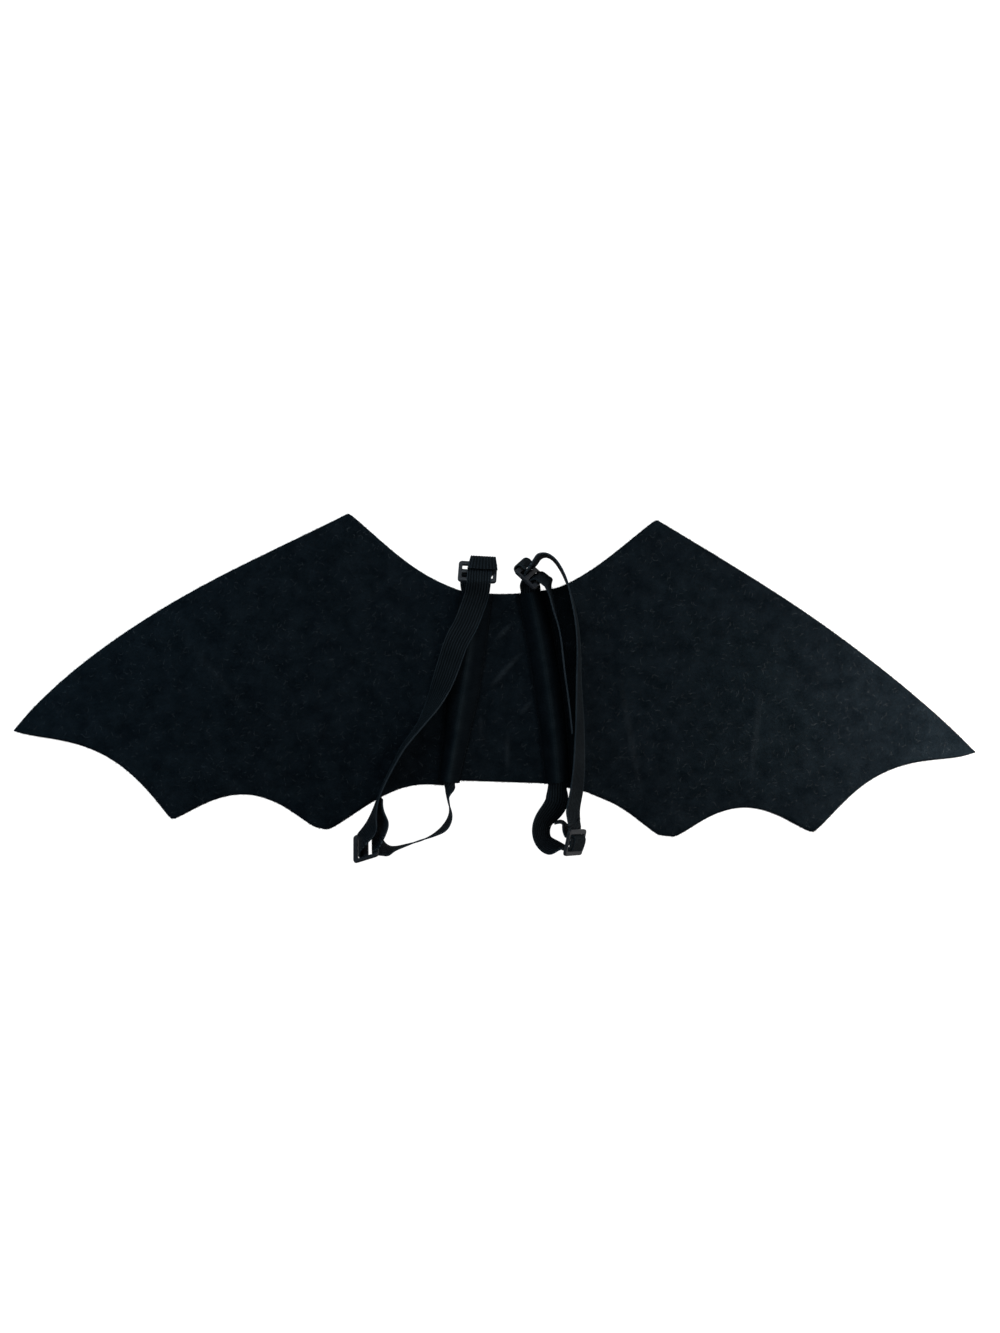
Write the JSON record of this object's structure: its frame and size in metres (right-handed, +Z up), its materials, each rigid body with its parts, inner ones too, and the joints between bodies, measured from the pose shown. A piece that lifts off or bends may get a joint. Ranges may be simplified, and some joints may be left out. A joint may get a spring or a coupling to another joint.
{
  "type": "bat wings",
  "caption": "Flat felt bat wings with scalloped lower edges, sewn strap sleeves and elastic shoulder straps on plastic slides, worn on the back as a costume.",
  "frame": {"origin": "centre of the bounding box on the surface that the felt lies on", "axes": "+X from the left to the right wing tip as seen from above, +Y from the hem to the wearer's neck, +Z up from the surface to the wearer's side of the felt"},
  "size_m": [0.8, 0.288, 0.0316],
  "materials": {
    "felt": "matte black felt",
    "sleeve_cloth": "matte black cloth strip",
    "slide_plastic": "satin black moulded plastic",
    "elastic": "ribbed black elastic"
  },
  "bodies": {
    "root": {"wing_panel": "felt", "strap_sleeve_left": "sleeve_cloth", "strap_sleeve_right": "sleeve_cloth", "slide_top_left": "slide_plastic", "slide_bottom_left": "slide_plastic", "slide_top_right": "slide_plastic", "slide_bottom_right": "slide_plastic", "anchor_strap_left": "elastic", "shoulder_strap_left": "elastic", "anchor_strap_right": "elastic", "shoulder_strap_right": "elastic"}
  },
  "joints": []
}
